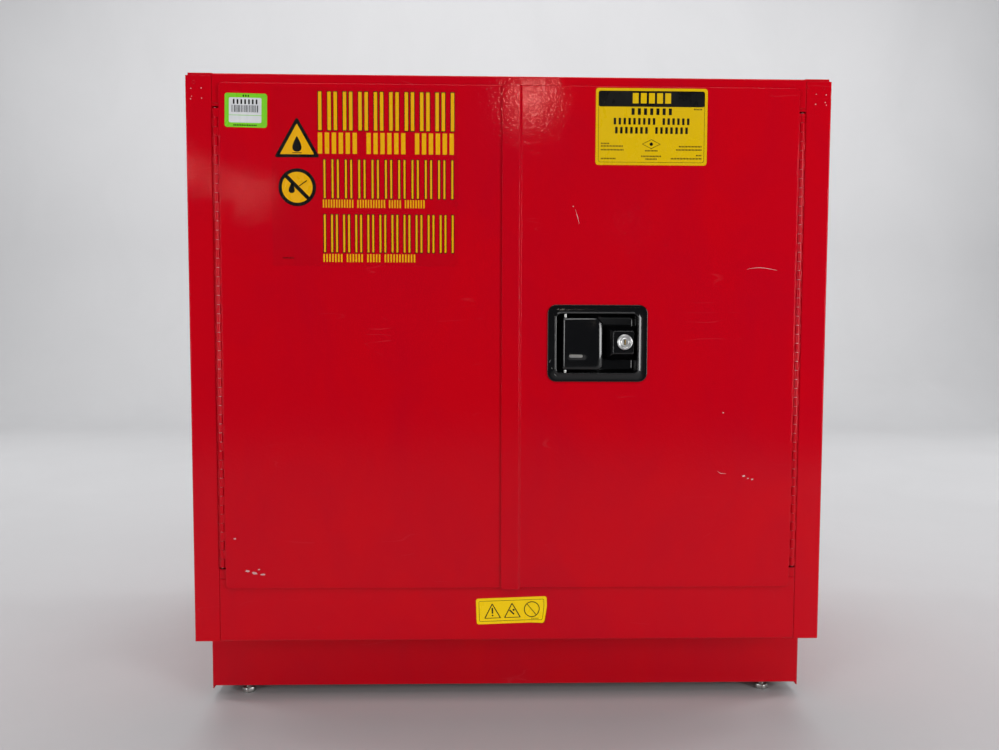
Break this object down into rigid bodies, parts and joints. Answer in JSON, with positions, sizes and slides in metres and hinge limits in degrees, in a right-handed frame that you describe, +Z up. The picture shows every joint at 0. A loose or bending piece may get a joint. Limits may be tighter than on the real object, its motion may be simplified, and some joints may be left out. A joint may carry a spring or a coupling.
{
  "type": "flammable storage cabinet",
  "caption": "Double-wall undercounter cabinet for flammable liquids: hinged doors, recessed paddle latch with key lock, tray shelf, leak-proof sump, vents and levelling feet.",
  "frame": {"origin": "on the floor, under the middle of the whole box", "axes": "+Z up, doors face -Y, +X to the right seen from the front"},
  "size_m": [0.889, 0.5836, 0.903],
  "materials": {
    "red_paint": "glossy safety red enamel with light orange peel",
    "inner_paint": "red enamel, satin inside the cabinet",
    "zinc_steel": "zinc plated",
    "black_gloss": "gloss black powder coat",
    "chrome_lock": "polished",
    "brass_nut": "plain brass",
    "vent_iron": "dark painted casting",
    "yellow_label": "printed vinyl",
    "clear_decal": "clear vinyl film with printed amber and black marks",
    "tag_paper": "printed vinyl tag"
  },
  "bodies": {
    "cabinet": {"bottom_rail": "red_paint", "flame_screens": "zinc_steel", "foot_brackets": "red_paint", "foot_nuts": "zinc_steel", "frame_stile_left": "red_paint", "frame_stile_right": "red_paint", "ground_nut": "brass_nut", "ground_stud": "zinc_steel", "hinge_frame_leaf_left": "red_paint", "hinge_frame_leaf_right": "red_paint", "hinge_pin_left": "zinc_steel", "hinge_pin_right": "zinc_steel", "inner_back": "inner_paint", "inner_side_left": "inner_paint", "inner_side_right": "inner_paint", "inner_top": "inner_paint", "outer_back": "red_paint", "outer_bottom": "red_paint", "outer_side_left": "red_paint", "outer_side_right": "red_paint", "outer_top": "red_paint", "shelf_brackets": "zinc_steel", "sill_label": "yellow_label", "sump_pan": "inner_paint", "toe_kick": "red_paint", "vent_bung_high": "vent_iron", "vent_bung_low": "vent_iron"},
    "left_door": {"left_door_skin": "red_paint", "left_door_pan": "red_paint", "hinge_door_leaf_left": "red_paint", "left_keeper": "zinc_steel", "hazard_decal": "clear_decal", "asset_tag": "tag_paper"},
    "right_door": {"right_door_skin": "red_paint", "right_door_pan": "red_paint", "hinge_door_leaf_right": "red_paint", "latch_dish": "black_gloss", "latch_studs": "zinc_steel", "latch_nuts": "zinc_steel", "rod_guides": "zinc_steel", "lock_housing": "chrome_lock", "lock_nut": "zinc_steel", "rating_label": "yellow_label", "cam_post": "zinc_steel", "paddle_pin": "zinc_steel", "paddle_spring": "zinc_steel"},
    "paddle": {"paddle": "black_gloss"},
    "latch_cam": {"latch_cam": "zinc_steel"},
    "top_rod": {"top_rod": "zinc_steel"},
    "bottom_rod": {"bottom_rod": "zinc_steel"},
    "centre_bolt": {"centre_bolt": "zinc_steel"},
    "lock_plug": {"lock_plug": "chrome_lock", "lock_cam": "zinc_steel"},
    "shelf": {"shelf": "inner_paint"},
    "foot_front_left": {"foot_front_left": "zinc_steel"},
    "foot_front_right": {"foot_front_right": "zinc_steel"},
    "foot_rear_left": {"foot_rear_left": "zinc_steel"},
    "foot_rear_right": {"foot_rear_right": "zinc_steel"},
    "vent_cap_low": {"vent_cap_low": "vent_iron"},
    "vent_cap_high": {"vent_cap_high": "vent_iron"}
  },
  "joints": [
    {"name": "left_door_hinge", "type": "hinge", "parent": "cabinet", "child": "left_door", "pos_m": [-0.4035, -0.28425, 0.538], "axis": [0, 0, -1], "range_deg": [0, 150]},
    {"name": "right_door_hinge", "type": "hinge", "parent": "cabinet", "child": "right_door", "pos_m": [0.4035, -0.28425, 0.538], "axis": [0, 0, 1], "range_deg": [0, 150]},
    {"name": "paddle_hinge", "type": "hinge", "parent": "right_door", "child": "paddle", "pos_m": [0.077, -0.28225, 0.537], "axis": [0, 0, -1], "range_deg": [0, 40], "stiffness_Nm_per_rad": 0.5, "springref_deg": -17.19},
    {"name": "latch_cam_turn", "type": "hinge", "parent": "right_door", "child": "latch_cam", "pos_m": [0.095, -0.25985, 0.537], "axis": [0, 1, 0], "range_deg": [0, 35]},
    {"name": "top_rod_slide", "type": "slide", "parent": "right_door", "child": "top_rod", "axis": [0, 0, -1], "range_m": [0, 0.01052]},
    {"name": "bottom_rod_slide", "type": "slide", "parent": "right_door", "child": "bottom_rod", "axis": [0, 0, 1], "range_m": [0, 0.01052]},
    {"name": "centre_bolt_slide", "type": "slide", "parent": "right_door", "child": "centre_bolt", "axis": [1, 0, 0], "range_m": [0, 0.01052]},
    {"name": "lock_turn", "type": "hinge", "parent": "right_door", "child": "lock_plug", "pos_m": [0.1593, -0.27525, 0.5389], "axis": [0, 1, 0], "range_deg": [0, 90]},
    {"name": "shelf_lift", "type": "slide", "parent": "cabinet", "child": "shelf", "axis": [0, 0, 1], "range_m": [0, 0.04]},
    {"name": "foot_front_left_screw", "type": "slide", "parent": "cabinet", "child": "foot_front_left", "axis": [0, 0, -1], "range_m": [0, 0.02]},
    {"name": "foot_front_right_screw", "type": "slide", "parent": "cabinet", "child": "foot_front_right", "axis": [0, 0, -1], "range_m": [0, 0.02]},
    {"name": "foot_rear_left_screw", "type": "slide", "parent": "cabinet", "child": "foot_rear_left", "axis": [0, 0, -1], "range_m": [0, 0.02]},
    {"name": "foot_rear_right_screw", "type": "slide", "parent": "cabinet", "child": "foot_rear_right", "axis": [0, 0, -1], "range_m": [0, 0.02]},
    {"name": "vent_cap_low_pull", "type": "slide", "parent": "cabinet", "child": "vent_cap_low", "axis": [0, 1, 0], "range_m": [0, 0.03]},
    {"name": "vent_cap_high_pull", "type": "slide", "parent": "cabinet", "child": "vent_cap_high", "axis": [0, 1, 0], "range_m": [0, 0.03]}
  ],
  "couplings": [
    {"joint": "latch_cam_turn", "follows": "paddle_hinge", "ratio": 0.875},
    {"joint": "top_rod_slide", "follows": "paddle_hinge", "m_per_rad": 0.014789},
    {"joint": "bottom_rod_slide", "follows": "paddle_hinge", "m_per_rad": 0.014789},
    {"joint": "centre_bolt_slide", "follows": "paddle_hinge", "m_per_rad": 0.014789}
  ]
}
